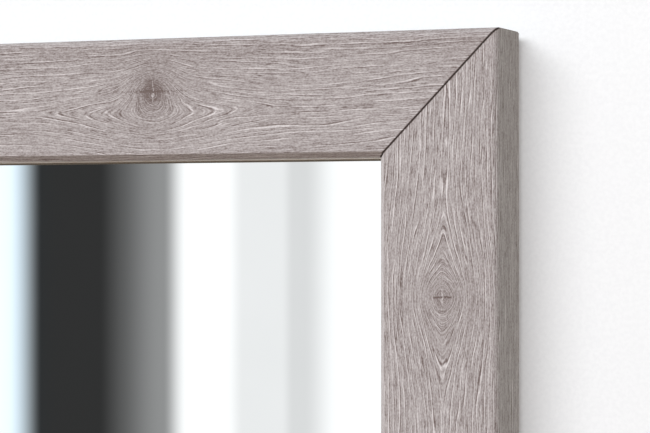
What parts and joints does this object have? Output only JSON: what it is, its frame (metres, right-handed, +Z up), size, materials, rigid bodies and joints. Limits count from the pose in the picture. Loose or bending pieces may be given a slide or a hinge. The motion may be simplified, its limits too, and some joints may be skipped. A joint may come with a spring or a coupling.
{
  "type": "framed wall mirror",
  "caption": "Rectangular wall mirror in a mitred, foil-wrapped wood-effect frame, held from behind by a board on turn buttons and hung by swinging rings.",
  "frame": {"origin": "the centre of the mirror on the wall plane, which the backs of the wall pads touch", "axes": "+Z up when hung portrait, +X to the right as the mirror is faced, +Y into the wall, so the mirror faces -Y"},
  "size_m": [0.6, 0.0355, 0.8],
  "materials": {
    "oak_foil": "matte embossed wood-effect decor foil, grey-washed oak",
    "mdf": "raw MDF, milled",
    "mirror": "polished silvered float glass",
    "backing_film": "grey safety backing film",
    "black_tape": "matte foam tape",
    "foam_sheet": "closed-cell polyethylene foam",
    "hardboard": "smooth-faced hardboard",
    "zinc_steel": "bright zinc plate",
    "nickel_steel": "nickel plate",
    "felt": "grey felt"
  },
  "bodies": {
    "frame": {"top_rail_core": "mdf", "top_rail_foil": "oak_foil", "bottom_rail_core": "mdf", "bottom_rail_foil": "oak_foil", "left_stile_core": "mdf", "left_stile_foil": "oak_foil", "right_stile_core": "mdf", "right_stile_foil": "oak_foil", "corner_nails": "zinc_steel", "lip_tape": "black_tape", "mirror_pane": "mirror", "mirror_backing_film": "backing_film", "cushion_sheet": "foam_sheet", "back_board": "hardboard", "pane_spacers": "foam_sheet", "wall_pads": "felt", "turn_button_screws": "zinc_steel", "hanger_screws": "zinc_steel", "left_stile_hanger_strap": "nickel_steel", "right_stile_hanger_strap": "nickel_steel", "top_rail_hanger_strap": "nickel_steel", "bottom_rail_hanger_strap": "nickel_steel"},
    "turn_button_top_rail": {"turn_button_top_rail": "zinc_steel"},
    "turn_button_bottom_rail": {"turn_button_bottom_rail": "zinc_steel"},
    "turn_button_left_stile_upper": {"turn_button_left_stile_upper": "zinc_steel"},
    "turn_button_left_stile_lower": {"turn_button_left_stile_lower": "zinc_steel"},
    "turn_button_right_stile_upper": {"turn_button_right_stile_upper": "zinc_steel"},
    "turn_button_right_stile_lower": {"turn_button_right_stile_lower": "zinc_steel"},
    "left_stile_hanger_ring": {"left_stile_hanger_ring": "nickel_steel"},
    "right_stile_hanger_ring": {"right_stile_hanger_ring": "nickel_steel"},
    "top_rail_hanger_ring": {"top_rail_hanger_ring": "nickel_steel"},
    "bottom_rail_hanger_ring": {"bottom_rail_hanger_ring": "nickel_steel"}
  },
  "joints": [
    {"name": "turn_button_top_rail_turn", "type": "hinge", "parent": "frame", "child": "turn_button_top_rail", "pos_m": [0, -0.0135, 0.356], "axis": [0, 1, 0], "range_deg": [-100, 100]},
    {"name": "turn_button_bottom_rail_turn", "type": "hinge", "parent": "frame", "child": "turn_button_bottom_rail", "pos_m": [0, -0.0135, -0.356], "axis": [0, 1, 0], "range_deg": [-100, 100]},
    {"name": "turn_button_left_stile_upper_turn", "type": "hinge", "parent": "frame", "child": "turn_button_left_stile_upper", "pos_m": [-0.256, -0.0135, 0.2], "axis": [0, 1, 0], "range_deg": [-100, 100]},
    {"name": "turn_button_left_stile_lower_turn", "type": "hinge", "parent": "frame", "child": "turn_button_left_stile_lower", "pos_m": [-0.256, -0.0135, -0.2], "axis": [0, 1, 0], "range_deg": [-100, 100]},
    {"name": "turn_button_right_stile_upper_turn", "type": "hinge", "parent": "frame", "child": "turn_button_right_stile_upper", "pos_m": [0.256, -0.0135, 0.2], "axis": [0, 1, 0], "range_deg": [-100, 100]},
    {"name": "turn_button_right_stile_lower_turn", "type": "hinge", "parent": "frame", "child": "turn_button_right_stile_lower", "pos_m": [0.256, -0.0135, -0.2], "axis": [0, 1, 0], "range_deg": [-100, 100]},
    {"name": "left_stile_ring_swing", "type": "hinge", "parent": "frame", "child": "left_stile_hanger_ring", "pos_m": [-0.258, -0.0114, 0.27], "axis": [-1, 0, 0], "range_deg": [0, 170]},
    {"name": "right_stile_ring_swing", "type": "hinge", "parent": "frame", "child": "right_stile_hanger_ring", "pos_m": [0.258, -0.0114, 0.27], "axis": [-1, 0, 0], "range_deg": [0, 170]},
    {"name": "top_rail_ring_swing", "type": "hinge", "parent": "frame", "child": "top_rail_hanger_ring", "pos_m": [-0.15, -0.0114, 0.358], "axis": [0, 0, -1], "range_deg": [0, 170]},
    {"name": "bottom_rail_ring_swing", "type": "hinge", "parent": "frame", "child": "bottom_rail_hanger_ring", "pos_m": [-0.15, -0.0114, -0.358], "axis": [0, 0, -1], "range_deg": [0, 170]}
  ]
}
